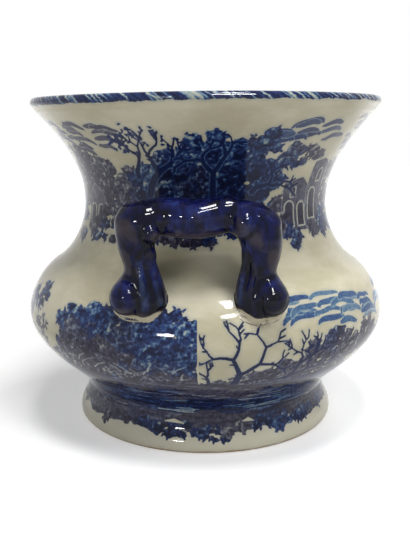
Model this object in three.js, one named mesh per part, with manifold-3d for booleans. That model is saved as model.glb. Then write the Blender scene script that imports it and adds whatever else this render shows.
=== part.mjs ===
// Two-handled vase: a footed, round-bellied earthenware body with a wide flaring mouth, and a rustic
// branch handle on its front and on its back. Each handle was modelled by itself and then luted to the
// shoulder: a bed of slip under each of its two feet holds it.
// Millimetres, +Z up. The origin is the middle of the ring that the foot stands on, and +Z is the axis
// that the body was turned about. The front handle stands on the -Y side.

import * as THREE from "three";
import { mergeVertices } from "three/addons/utils/BufferGeometryUtils.js";
import Module from "manifold-3d";

// Driving dimensions of the body, outside. Radii are from the axis, heights from the floor.
const rimRadius = 130;
const height = 243.5;
const neckRadius = 92.6;
const neckHeight = 167.5;
const bellyRadius = 136.6;
const bellyHeight = 86;
const waistRadius = 94.2;
const waistHeight = 25.6;
const footRadius = 100.5;

// The potting: thickness of the wall, the floor and the ring of the foot, and the rounds on them.
const wall = 6;
const lipThickness = 6.6;
const floorThickness = 8;
const floorFillet = 10;
const recessDepth = 13;
const recessFillet = 6;
const footWall = 9;
const footEdgeRound = 3;

// The shoulder and the throat are the places where the outside line stops swelling and starts to draw
// in, or the other way round. Each lies between two of the radii and heights above, at a share of the
// way from the first to the second, and leans by so many degrees from upright.
const shoulderOutShare = 0.515;
const shoulderUpShare = 0.45;
const shoulderLean = -55.5;
const throatOutShare = 0.165;
const throatUpShare = 0.365;
const throatLean = 22.6;
const rimLean = 40;

// Driving dimensions of a handle. Half widths and half depths are those of its oval sections, and a
// spacing is between the middles of the two that it names.
const fingerGap = 17;
const barDrop = 1;
const barHalfHeight = 12.2;
const barHalfDepth = 10.8;
const humpSpacing = 42;
const humpRise = 1.8;
const humpHalfHeight = 11.5;
const humpHalfDepth = 11.4;
const elbowHalfWidth = 14.6;
const elbowHalfDepth = 12.4;
const elbowSpacing = 72.4;
const legSpacing = 75.6;
const kneeHalfWidth = 12.6;
const kneeHalfDepth = 11.2;
const ankleHalfWidth = 9.4;
const ankleHalfDepth = 9;
const heelHalfWidth = 8.7;
const heelHalfDepth = 9;
const footRise = 31.4;
const footStandOut = 4.6;
const clawSpacing = 61;
const clawHalfWidth = 7.8;
const clawHalfDepth = 9;
const clawStandOut = 1;
const clawTipHalfWidth = 6.4;
const clawTipHalfDepth = 7.2;
const clawCurl = 3.4;
const ballSpacing = 91;
const ballHalfWidth = 11;
const ballHalfDepth = 11.8;
const ballHeelHalfWidth = 9.1;
const ballHeelHalfDepth = 10;
const ballTopRadius = 8.6;
const knuckleRadius = 5.2;
const stubRadius = 3.6;

// How high the turns of a leg lie, as shares of the way from the middle of its foot to the bar.
const elbowShare = 0.87;
const kneeShare = 0.66;
const ankleShare = 0.41;
const heelShare = 0.2;
const clawShare = -0.03;
const ballShare = -0.06;
const clawTipShare = -0.17;

// The knobs on the front of the bough: how far across each lies from its middle, how high by the same
// shares, and how far its middle stands out.
const lowKnuckleX = -29.6;
const lowKnuckleShare = 0.93;
const lowKnuckleOut = 10.8;
const highKnuckleX = 26.6;
const highKnuckleShare = 1.08;
const highKnuckleOut = 9.8;
const stubX = -28.9;
const stubShare = 0.6;
const stubOut = 5;

// The slip that holds a handle's foot: its least thickness, how far it was pressed out beside the foot,
// how high it stands, its height down the slope as a share of its width, and how far its middle lies
// below the middle of the foot.
const slipThickness = 1.5;
const slipMargin = 1.8;
const slipRise = 5;
const slipSquash = 0.77;
const slipDrop = 5.6;

// The gap between two pieces that touch.
const clearance = 0.3;

// How finely the curved surfaces are divided.
const bodySegments = 60;
const handleSides = 16;
const ringsBetweenSpots = 3;
const domeSteps = 3;
const lineDivisions = [3, 8, 5, 5, 3, 6];

const wasm = await Module();
wasm.setup();

// Solids for cutting and joining.
function toSolid(geometry) {
  const bare = geometry.clone();
  bare.deleteAttribute("normal");
  bare.deleteAttribute("uv");
  const merged = mergeVertices(bare, 1e-4);
  const corners = merged.index.array;
  const kept = [];
  for (let i = 0; i < corners.length; i += 3) {
    const [a, b, c] = [corners[i], corners[i + 1], corners[i + 2]];
    if (a !== b && b !== c && c !== a) kept.push(a, b, c);
  }
  return new wasm.Manifold(
    new wasm.Mesh({
      numProp: 3,
      vertProperties: merged.attributes.position.array,
      triVerts: new Uint32Array(kept),
    }),
  );
}

function toGeometry(solid) {
  const mesh = solid.getMesh();
  const geometry = new THREE.BufferGeometry();
  geometry.setAttribute("position", new THREE.BufferAttribute(mesh.vertProperties, mesh.numProp));
  geometry.setIndex(new THREE.BufferAttribute(mesh.triVerts, 1));
  geometry.computeVertexNormals();
  return geometry;
}

const join = (solids) => solids.reduce((whole, next) => whole.add(next));

const between = (low, high, share) => low + (high - low) * share;

function leaning(degrees) {
  const angle = THREE.MathUtils.degToRad(degrees);
  return new THREE.Vector2(Math.sin(angle), Math.cos(angle));
}

// The outside line of the body runs from the edge of the foot to the lip, through stations. At each it
// follows that station's lean, and is pulled along it by shares of its chords before and after.
function station(radius, z, lean, pullBefore, pullAfter) {
  return { point: new THREE.Vector2(radius, z), direction: leaning(lean), pullBefore, pullAfter };
}

const lipRadius = lipThickness / 2;
const lipCentre = new THREE.Vector2(rimRadius - lipRadius, height - lipRadius);
const rimDirection = leaning(rimLean);
const rimOutward = new THREE.Vector2(rimDirection.y, -rimDirection.x);
const rimEnd = lipCentre.clone().addScaledVector(rimOutward, lipRadius);

const stations = [
  station(footRadius, footEdgeRound, 0, 0, 0.4),
  station(waistRadius, waistHeight, 0, 0.55, 0.21),
  station(bellyRadius, bellyHeight, 0, 0.38, 0.14),
  station(
    between(neckRadius, bellyRadius, shoulderOutShare),
    between(bellyHeight, neckHeight, shoulderUpShare),
    shoulderLean,
    0.54,
    0.37,
  ),
  station(neckRadius, neckHeight, 0, 0.3, 0.46),
  station(
    between(neckRadius, rimRadius, throatOutShare),
    between(neckHeight, height, throatUpShare),
    throatLean,
    0.32,
    0.31,
  ),
  station(rimEnd.x, rimEnd.y, rimLean, 0.22, 0),
];

const stretches = stations.slice(1).map((end, i) => {
  const start = stations[i];
  const chord = start.point.distanceTo(end.point);
  return new THREE.CubicBezierCurve(
    start.point,
    start.point.clone().addScaledVector(start.direction, start.pullAfter * chord),
    end.point.clone().addScaledVector(end.direction, -end.pullBefore * chord),
    end.point,
  );
});

// Points along the outside line, with so many divisions on each stretch. Each is moved out of the clay,
// or into it, by what distanceAt gives for its stretch and its share of the way along that.
function lineBeside(divisions, distanceAt) {
  return stretches.flatMap((curve, i) =>
    Array.from({ length: divisions[i] + 1 }, (_, k) => {
      const share = k / divisions[i];
      const direction = curve.getTangent(share);
      const outward = new THREE.Vector2(direction.y, -direction.x);
      return curve.getPoint(share).addScaledVector(outward, distanceAt(i, share));
    }).slice(i === 0 ? 0 : 1),
  );
}

const outsideLine = (divisions, distance) => lineBeside(divisions, () => distance);

// The clay at the lip is a little thicker than the wall, and comes down to it over the last stretch.
const insideLine = (divisions) =>
  lineBeside(divisions, (i, share) =>
    i === stretches.length - 1 ? -between(wall, lipThickness, share ** 2) : -wall,
  );

// Where the outside line passes height z: its radius, and the direction out of the clay.
const fineLine = outsideLine(
  lineDivisions.map((count) => count * 8),
  0,
);

function surfaceAt(z) {
  const above = Math.max(
    1,
    fineLine.findIndex((point) => point.y >= z),
  );
  const [low, high] = [fineLine[above - 1], fineLine[above]];
  const run = high.clone().sub(low).normalize();
  return {
    radius: between(low.x, high.x, (z - low.y) / (high.y - low.y)),
    outward: new THREE.Vector2(run.y, -run.x),
  };
}

// A part of a circle about centre, from one direction to another, both in degrees, with both ends.
function arc(centre, radius, from, to, divisions) {
  return Array.from({ length: divisions + 1 }, (_, k) => {
    const angle = THREE.MathUtils.degToRad(between(from, to, k / divisions));
    return new THREE.Vector2(
      centre.x + radius * Math.cos(angle),
      centre.y + radius * Math.sin(angle),
    );
  });
}

const revolve = (points) => new THREE.LatheGeometry(points, bodySegments).rotateX(Math.PI / 2);

function bodyProfile() {
  const floorTop = recessDepth + floorThickness;
  const outside = outsideLine(lineDivisions, 0);
  const inside = insideLine(lineDivisions.map((count) => Math.ceil(count / 2)))
    .filter((point) => point.y > floorTop + floorFillet)
    .reverse();
  const wallFoot = inside[inside.length - 1];
  const floorEdge = new THREE.QuadraticBezierCurve(
    wallFoot,
    new THREE.Vector2(wallFoot.x, floorTop),
    new THREE.Vector2(wallFoot.x - floorFillet, floorTop),
  );
  const footInside = footRadius - footWall;
  const recessEdge = waistRadius - footWall;
  const recess = new THREE.QuadraticBezierCurve(
    new THREE.Vector2(recessEdge - recessFillet, recessDepth),
    new THREE.Vector2(recessEdge, recessDepth),
    new THREE.Vector2(
      between(recessEdge, footInside, recessFillet / recessDepth),
      recessDepth - recessFillet,
    ),
  );
  const footCorner = new THREE.Vector2(footRadius - footEdgeRound, footEdgeRound);
  return [
    new THREE.Vector2(0, recessDepth),
    ...recess.getPoints(3),
    new THREE.Vector2(footInside, footEdgeRound / 2),
    new THREE.Vector2(footInside + footEdgeRound / 2, 0),
    ...arc(footCorner, footEdgeRound, -90, 0, 3).slice(0, -1),
    ...outside,
    ...arc(lipCentre, lipRadius, -rimLean, 180 - rimLean, 7).slice(1, -1),
    ...inside,
    ...floorEdge.getPoints(3).slice(1),
    new THREE.Vector2(0, floorTop),
  ];
}

// The whole body without its hollow, grown all round by distance, to cut what is luted onto it.
function bodyBlank(distance) {
  const line = outsideLine(lineDivisions, distance);
  return toSolid(
    revolve([
      new THREE.Vector2(0, line[0].y),
      ...line,
      new THREE.Vector2(0, line[line.length - 1].y),
    ]),
  );
}

// Handles. They are laid out as the front one stands: x runs across, and -y out from the vase.
const barZ = neckHeight - barDrop;
const barOut = neckRadius + fingerGap + barHalfDepth;
const footZ = bellyHeight + footRise;
const footOut = Math.sqrt((surfaceAt(footZ).radius + footStandOut) ** 2 - (legSpacing / 2) ** 2);

// A place in the handle: x across, and its height as a share of the way from the feet to the bar. It
// lies in the slanting plane through both, or further out from the vase by out.
function place(x, share, out = 0) {
  return new THREE.Vector3(
    x,
    -between(footOut, barOut, share) - out,
    between(footZ, barZ, share),
  );
}

// An oval tube along a smooth line through spots, each with a centre, a half width and a half depth.
// Its ends are domes. Grown makes every half size larger by that much.
function branch(spots, sides, grown) {
  const line = new THREE.CatmullRomCurve3(spots.map((spot) => spot.centre));
  const sizes = new THREE.CatmullRomCurve3(
    spots.map((spot) => new THREE.Vector3(spot.halfWidth + grown, spot.halfDepth + grown, 0)),
  );
  const ringCount = (spots.length - 1) * ringsBetweenSpots;
  const rings = [];
  const addRing = (share, along, scale) => {
    const run = line.getTangent(share).normalize();
    const side = new THREE.Vector3(0, 1, 0).cross(run).normalize();
    const out = run.clone().cross(side);
    const size = sizes.getPoint(share);
    const centre = line.getPoint(share).addScaledVector(run, along * Math.min(size.x, size.y));
    rings.push(
      Array.from({ length: sides }, (_, k) => {
        const angle = (k / sides) * 2 * Math.PI;
        return centre
          .clone()
          .addScaledVector(side, Math.cos(angle) * size.x * scale)
          .addScaledVector(out, Math.sin(angle) * size.y * scale);
      }),
    );
  };
  for (let k = 1; k < domeSteps; k += 1) {
    const angle = (k / domeSteps) * (Math.PI / 2);
    addRing(0, -Math.cos(angle), Math.sin(angle));
  }
  for (let k = 0; k <= ringCount; k += 1) addRing(k / ringCount, 0, 1);
  for (let k = domeSteps - 1; k > 0; k -= 1) {
    const angle = (k / domeSteps) * (Math.PI / 2);
    addRing(1, Math.cos(angle), Math.sin(angle));
  }
  const tip = (share, sign) => {
    const size = sizes.getPoint(share);
    const run = line.getTangent(share).normalize();
    return line.getPoint(share).addScaledVector(run, sign * Math.min(size.x, size.y));
  };
  const points = [tip(0, -1), ...rings.flat(), tip(1, 1)];
  const last = points.length - 1;
  const faces = [];
  for (let k = 0; k < sides; k += 1) {
    const next = (k + 1) % sides;
    faces.push(0, 1 + next, 1 + k);
    faces.push(last, last - sides + k, last - sides + next);
    for (let ring = 0; ring < rings.length - 1; ring += 1) {
      const low = 1 + ring * sides;
      const high = low + sides;
      faces.push(low + k, low + next, high + next, low + k, high + next, high + k);
    }
  }
  return toSolid(new THREE.BufferGeometry().setFromPoints(points).setIndex(faces));
}

const spot = (centre, halfWidth, halfDepth) => ({ centre, halfWidth, halfDepth });

// The bough: bar, elbows and legs in one, and at each foot the claw that comes down beside the ball
// and turns in under it.
function boughSpots() {
  const humpShare = 1 + humpRise / (barZ - footZ);
  const heelSpacing = (clawSpacing + legSpacing) / 2;
  const half = (side) => [
    spot(place((side * humpSpacing) / 2, humpShare), humpHalfHeight, humpHalfDepth),
    spot(place((side * elbowSpacing) / 2, elbowShare), elbowHalfWidth, elbowHalfDepth),
    spot(place((side * legSpacing) / 2, kneeShare), kneeHalfWidth, kneeHalfDepth),
    spot(place((side * legSpacing) / 2, ankleShare), ankleHalfWidth, ankleHalfDepth),
    spot(place((side * heelSpacing) / 2, heelShare), heelHalfWidth, heelHalfDepth),
    spot(place((side * clawSpacing) / 2, clawShare, clawStandOut), clawHalfWidth, clawHalfDepth),
    spot(
      place(side * (clawSpacing / 2 + clawCurl), clawTipShare, clawCurl),
      clawTipHalfWidth,
      clawTipHalfDepth,
    ),
  ];
  return [...half(-1).reverse(), spot(place(-1, 1), barHalfHeight, barHalfDepth), ...half(1)];
}

// The ball of a foot hangs from the ankle on the outer side of the claw.
function ballSpots(side) {
  const across = (share) => (side * between(legSpacing, ballSpacing, share)) / 2;
  return [
    spot(place(across(0.1), ankleShare), ballTopRadius, ballTopRadius),
    spot(place(across(0.5), heelShare), ballHeelHalfWidth, ballHeelHalfDepth),
    spot(place(across(1), ballShare), ballHalfWidth, ballHalfDepth),
  ];
}

// The knobs of cut twigs on the front of the bough: a knuckle by each elbow, one lower than the other,
// and a stub inside one leg.
function knob(centre, radius) {
  return new THREE.SphereGeometry(radius, 10, 7)
    .rotateX(Math.PI / 2)
    .translate(centre.x, centre.y, centre.z);
}

function knobs(grown) {
  return [
    knob(place(lowKnuckleX, lowKnuckleShare, lowKnuckleOut), knuckleRadius + grown),
    knob(place(highKnuckleX, highKnuckleShare, highKnuckleOut), knuckleRadius + grown),
    knob(place(stubX, stubShare, stubOut), stubRadius + grown),
  ];
}

// A whole handle before its feet are cut to the shoulder, grown all round by grown.
function handleBlank(grown) {
  return join([
    branch(boughSpots(), handleSides, grown),
    branch(ballSpots(-1), handleSides - 2, grown),
    branch(ballSpots(1), handleSides - 2, grown),
    ...knobs(grown).map(toSolid),
  ]);
}

// The ground that one foot covers, from the inner edge of its claw to the outer edge of its ball.
const footInner = clawSpacing / 2 - clawHalfWidth;
const footOuter = ballSpacing / 2 + ballHalfWidth;

// A low dome of slip lying on the shoulder about the foot on one side, grown all round by grown.
function slipDome(side, grown) {
  const { radius, outward } = surfaceAt(footZ - slipDrop);
  const azimuth = Math.asin((side * (footInner + footOuter)) / 2 / radius);
  const radial = new THREE.Vector3(Math.sin(azimuth), -Math.cos(azimuth), 0);
  const across = new THREE.Vector3(Math.cos(azimuth), Math.sin(azimuth), 0);
  const normal = radial.clone().multiplyScalar(outward.x).setZ(outward.y);
  const upSlope = normal.clone().cross(across);
  const seat = radial.clone().multiplyScalar(radius).setZ(footZ - slipDrop);
  const halfWidth = (footOuter - footInner) / 2 + slipMargin;
  const dome = new THREE.SphereGeometry(1, 16, 10)
    .scale(halfWidth + grown, halfWidth * slipSquash + grown, slipRise + grown)
    .applyMatrix4(new THREE.Matrix4().makeBasis(across, upSlope, normal).setPosition(seat));
  return toSolid(dome);
}

// The pieces. Slip lies on the body, and a handle lies on the slip.
const handleSeat = clearance + slipThickness + clearance;
const handleSolid = handleBlank(0).subtract(bodyBlank(handleSeat));

// Slip is pressed flat under a foot and stands up around it, but it was wiped out of the foot's groove.
function slipSolid(side) {
  const foot = handleBlank(clearance).intersect(slipDome(side, slipRise)).hull();
  const pressed = foot.subtract(bodyBlank(handleSeat - clearance));
  return slipDome(side, 0).subtract(bodyBlank(clearance)).subtract(pressed);
}

const creamGlaze = new THREE.MeshStandardMaterial({ color: 0xd9d4c0, roughness: 0.16, metalness: 0 });
const cobaltGlaze = new THREE.MeshStandardMaterial({ color: 0x232b52, roughness: 0.12, metalness: 0 });
const slipGlaze = new THREE.MeshStandardMaterial({ color: 0xc9c1a4, roughness: 0.22, metalness: 0 });

function piece(name, geometry, material) {
  const mesh = new THREE.Mesh(geometry, material.clone());
  mesh.name = name;
  return mesh;
}

const vase = new THREE.Group();
vase.add(piece("vase_body", revolve(bodyProfile()), creamGlaze));

for (const [end, turn] of [
  ["front", 0],
  ["rear", Math.PI],
]) {
  const mounted = new THREE.Group();
  mounted.rotation.z = turn;
  mounted.add(
    piece(`${end}_handle`, toGeometry(handleSolid), cobaltGlaze),
    piece(`${end}_slip_left`, toGeometry(slipSolid(-1)), slipGlaze),
    piece(`${end}_slip_right`, toGeometry(slipSolid(1)), slipGlaze),
  );
  vase.add(mounted);
}

export default vase;
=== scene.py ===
# Looks of the two-handled vase: glazed body with a blue print, two branch handles, their slip beds,
# and a plain pale studio. Lengths are millimetres in the shapes and metres in Blender.
from math import asin, atan2, ceil, cos, floor, hypot, pi, radians, sin, sqrt, tau

import bpy
import numpy as np
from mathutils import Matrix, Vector


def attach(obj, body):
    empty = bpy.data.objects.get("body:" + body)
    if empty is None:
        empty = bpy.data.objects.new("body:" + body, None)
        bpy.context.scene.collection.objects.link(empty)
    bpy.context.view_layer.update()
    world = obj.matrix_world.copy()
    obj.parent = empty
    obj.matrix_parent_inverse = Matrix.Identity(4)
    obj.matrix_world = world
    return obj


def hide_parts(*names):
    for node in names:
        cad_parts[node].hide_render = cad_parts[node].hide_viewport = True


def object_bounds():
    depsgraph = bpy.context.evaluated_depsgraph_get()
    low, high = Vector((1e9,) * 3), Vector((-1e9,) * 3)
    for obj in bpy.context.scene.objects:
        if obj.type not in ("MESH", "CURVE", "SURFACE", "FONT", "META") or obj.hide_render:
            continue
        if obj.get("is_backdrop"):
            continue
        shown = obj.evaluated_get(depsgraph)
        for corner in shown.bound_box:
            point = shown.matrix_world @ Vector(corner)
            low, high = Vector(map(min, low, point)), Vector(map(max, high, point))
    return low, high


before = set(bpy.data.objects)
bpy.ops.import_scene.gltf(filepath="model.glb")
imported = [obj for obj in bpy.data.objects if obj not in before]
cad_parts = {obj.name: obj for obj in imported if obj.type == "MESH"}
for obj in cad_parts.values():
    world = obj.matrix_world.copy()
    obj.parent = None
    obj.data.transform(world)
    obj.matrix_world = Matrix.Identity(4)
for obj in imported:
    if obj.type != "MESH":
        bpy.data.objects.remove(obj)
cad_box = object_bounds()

MM = 0.001


def mix(low, high, share):
    return low + (high - low) * share


def unit(value):
    return np.clip(value, 0, 1)


def smooth(low, high, value):
    share = unit((value - low) / (high - low))
    return share * share * (3 - 2 * share)


def add_object(name, data):
    made = bpy.data.objects.new(name, data)
    bpy.context.scene.collection.objects.link(made)
    return made


# Camera. The photograph was taken from a little above, and two degrees to the right of the handle.
FOCAL_PX, PHOTO_HEIGHT_PX, SENSOR = 725.6, 545, 36
DISTANCE, EYE_HEIGHT, PITCH, SIDE_STEP, AIM = 0.5652, 0.2268, 11.93, 2.0, 0.032

camera_data = bpy.data.cameras.new("camera")
camera_data.sensor_width = SENSOR
camera_data.lens = FOCAL_PX * SENSOR / PHOTO_HEIGHT_PX
camera_data.clip_start = 0.01
camera = add_object("camera", camera_data)
turned = radians(SIDE_STEP)
camera.location = (DISTANCE * sin(turned), -DISTANCE * cos(turned), EYE_HEIGHT)
camera.rotation_euler = (radians(90 - PITCH), 0, radians(SIDE_STEP + AIM))
bpy.context.scene.camera = camera
bpy.context.scene.view_settings.view_transform = "Standard"


# Node helpers.
def srgb(*levels):
    """The colour of a red, green and blue from 0 to 255."""
    levels = (c / 255 for c in levels)
    return (*(c / 12.92 if c <= 0.04045 else ((c + 0.055) / 1.055) ** 2.4 for c in levels), 1)


class Nodes:
    """Builds a material or world tree with short calls."""

    def __init__(self, owner):
        owner.use_nodes = True
        self.owner, self.tree = owner, owner.node_tree
        self.tree.nodes.clear()

    def add(self, kind, inputs=(), **settings):
        node = self.tree.nodes.new("ShaderNode" + kind)
        for name, value in settings.items():
            setattr(node, name, value)
        for key, value in dict(inputs).items():
            if isinstance(value, bpy.types.NodeSocket):
                self.tree.links.new(value, node.inputs[key])
            else:
                node.inputs[key].default_value = value
        return node

    def math(self, operation, *values, **settings):
        return self.add("Math", enumerate(values), operation=operation, **settings).outputs[0]

    def times(self, a, b, plus=0.0):
        return self.math("MULTIPLY_ADD", a, b, plus)

    def step(self, *values):
        """A smooth climb while a value goes from low to high, from 0 to 1 or between two ends."""
        return self.add("MapRange", enumerate(values), interpolation_type="SMOOTHSTEP").outputs[0]

    def blend(self, share, first, second):
        return self.add("Mix", {0: share, 6: first, 7: second}, data_type="RGBA").outputs[2]

    def noise(self, place, scale, detail=2.0, roughness=0.5, distortion=0.0):
        inputs = {0: place, 2: scale, 3: detail, 4: roughness, 8: distortion}
        return self.add("TexNoise", inputs).outputs[0]

    def wobble(self, *kind):
        """Noise about zero."""
        return self.math("SUBTRACT", self.noise(*kind), 0.5)

    def ramp(self, value, *stops):
        """A colour ramp, each stop a position and its red, green and blue."""
        node = self.add("ValToRGB", {0: value})
        points = node.color_ramp.elements
        while len(points) < len(stops):
            points.new(0.5)
        for point, (position, *colour) in zip(points, stops):
            point.position, point.color = position, srgb(*colour)
        return node.outputs[0]

    def place(self, *stretch):
        place = self.add("TexCoord").outputs["Object"]
        return self.add("Mapping", {"Vector": place, "Scale": stretch}).outputs[0] if stretch else place

    def field(self, name):
        return self.add("Attribute", attribute_name=name).outputs

    def finish(self, shader, kind="OutputMaterial"):
        self.add(kind, {0: shader})
        return self.owner


# The outside line of the body, as radius and height: smooth curves through stations. Each station has
# its radius, its height, its lean from upright in degrees, and its pulls before and after.
RIM_RADIUS, HEIGHT, NECK_RADIUS, NECK_HEIGHT = 130, 243.5, 92.6, 167.5
BELLY_RADIUS, BELLY_HEIGHT, WAIST_RADIUS, WAIST_HEIGHT = 136.6, 86, 94.2, 25.6
FOOT_RADIUS, FOOT_EDGE, LIP_RADIUS, RIM_LEAN = 100.5, 3, 3.3, 40
WALL, LIP_WALL, FLOOR_TOP, FLOOR_FILLET = 6, 6.6, 21, 10
RECESS_DEPTH, RECESS_FILLET, FOOT_WALL = 13, 6, 9
# The wall thickens towards the lip from this height on, over this rise.
THICKENS_AT, THICKENS_OVER = 205, 35
# The lip is rounded, with a narrow flat where its face turns up by so many degrees.
LIP_ROUND, LIP_FACE, LIP_FLAT = 2.9, 19.5, 0.68
# A low ridge under the lip: how far it stands out, its height and its width.
RIDGE_STAND, RIDGE_HEIGHT, RIDGE_WIDTH = 0.28, 233.5, 1.3
# The rim sags on the left, and has a flat just right of the front: its depth, angle and width.
RIM_SAG, RIM_FLAT, FLAT_ANGLE, FLAT_WIDTH = 1.8, 0.9, 0.15, 0.122
PRINT_SPACING, COLUMNS = 0.68, 1240


def leaning(degrees):
    return np.array([sin(radians(degrees)), cos(radians(degrees))])


def arc(centre, radius, start, end, count):
    angle = np.radians(np.linspace(start, end, count + 1))
    return np.array(centre) + radius * np.c_[np.cos(angle), np.sin(angle)]


def bend(first, corner, last, count):
    t = np.linspace(0, 1, count + 1)[:, None]
    first, corner, last = (np.array(p, float) for p in (first, corner, last))
    return (1 - t) ** 2 * first + 2 * (1 - t) * t * corner + t * t * last


lip_centre = np.array([RIM_RADIUS - LIP_RADIUS, HEIGHT - LIP_RADIUS])
rim_way = np.array([1, -1]) * leaning(RIM_LEAN)[::-1]
STATIONS = [
    (FOOT_RADIUS, FOOT_EDGE, 0, 0, 0.4),
    (WAIST_RADIUS, WAIST_HEIGHT, 0, 0.55, 0.21),
    (BELLY_RADIUS, BELLY_HEIGHT, 0, 0.38, 0.14),
    (mix(NECK_RADIUS, BELLY_RADIUS, 0.515), mix(BELLY_HEIGHT, NECK_HEIGHT, 0.45), -55.5, 0.54, 0.37),
    (NECK_RADIUS, NECK_HEIGHT, 0, 0.3, 0.46),
    (mix(NECK_RADIUS, RIM_RADIUS, 0.165), mix(NECK_HEIGHT, HEIGHT, 0.365), 22.6, 0.32, 0.31),
    (*(lip_centre + LIP_RADIUS * rim_way), RIM_LEAN, 0.22, 0),
]


def outside_line(spacing):
    """Points of the outside line about spacing apart, and the way out of the clay at each."""
    points, ways = [], []
    for i, (start, end) in enumerate(zip(STATIONS, STATIONS[1:])):
        first, last = np.array(start[:2]), np.array(end[:2])
        chord = np.linalg.norm(last - first)
        second = first + leaning(start[2]) * start[4] * chord
        third = last - leaning(end[2]) * end[3] * chord
        t = np.linspace(0, 1, round(chord / spacing) + 1)[i > 0 :, None]
        s = 1 - t
        points.append(s**3 * first + 3 * s * s * t * second + 3 * s * t * t * third + t**3 * last)
        run = s * s * (second - first) + 2 * s * t * (third - second) + t * t * (last - third)
        run /= np.linalg.norm(run, axis=1)[:, None]
        ways.append(np.c_[run[:, 1], -run[:, 0]])
    return np.concatenate(points), np.concatenate(ways)


def make_mesh(name, points, faces, attributes):
    """A smooth mesh object from points in millimetres. Faces are arrays of corner numbers."""
    mesh = bpy.data.meshes.new(name)
    mesh.vertices.add(len(points))
    mesh.vertices.foreach_set("co", np.asarray(points * MM, np.float32).ravel())
    sizes = np.concatenate([np.full(len(f), f.shape[1]) for f in faces])
    corners = np.concatenate([f.ravel() for f in faces])
    mesh.loops.add(len(corners))
    mesh.loops.foreach_set("vertex_index", corners.astype(np.int32))
    mesh.polygons.add(len(sizes))
    mesh.polygons.foreach_set("loop_start", (np.cumsum(sizes) - sizes).astype(np.int32))
    mesh.update(calc_edges=True)
    mesh.shade_smooth()
    for key, values in attributes.items():
        kind, part = ("FLOAT_COLOR", "color") if values.ndim == 2 else ("FLOAT", "value")
        made = mesh.attributes.new(key, kind, "POINT")
        made.data.foreach_set(part, values.astype(np.float32).ravel())
    mesh.validate()
    return add_object(name, mesh)


CORNERS = np.array([(n & 1, n >> 1 & 1, n >> 2) for n in range(8)])


def sample(values, places, wrap=False):
    """Values between the points of a grid, at places counted in its steps."""
    if not wrap:
        places = np.clip(places, 0, np.array(values.shape) - 1.001)
    whole = np.floor(places).astype(int)
    part = places - whole
    if wrap:
        part = part * part * (3 - 2 * part)
    found = 0
    for corner in CORNERS:
        index = tuple(np.moveaxis((whole + corner) % values.shape, -1, 0))
        found = found + values[index] * np.where(corner, part, 1 - part).prod(-1)
    return found


def line_gap(x, y, x0, y0, x1, y1):
    """How far along a line each place is, as a share, and how far from it."""
    dx, dy = x1 - x0, y1 - y0
    share = unit(((x - x0) * dx + (y - y0) * dy) / max(dx * dx + dy * dy, 1e-6))
    return share, np.hypot(x - x0 - dx * share, y - y0 - dy * share)


def noise(seed, places):
    """Smooth values from -1 to 1 that wander over one step, the same on each run."""
    return sample(np.random.default_rng(seed).uniform(-1, 1, (32, 32, 32)), places, True)


# The print. It is drawn on a sheet that wraps the outside of the body, in rows up its outside line.
# Where nothing is drawn, its cover, tone, value and grit are these.
PLAIN = (-4.0, 0.3, 0.4, 0.0)


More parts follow.
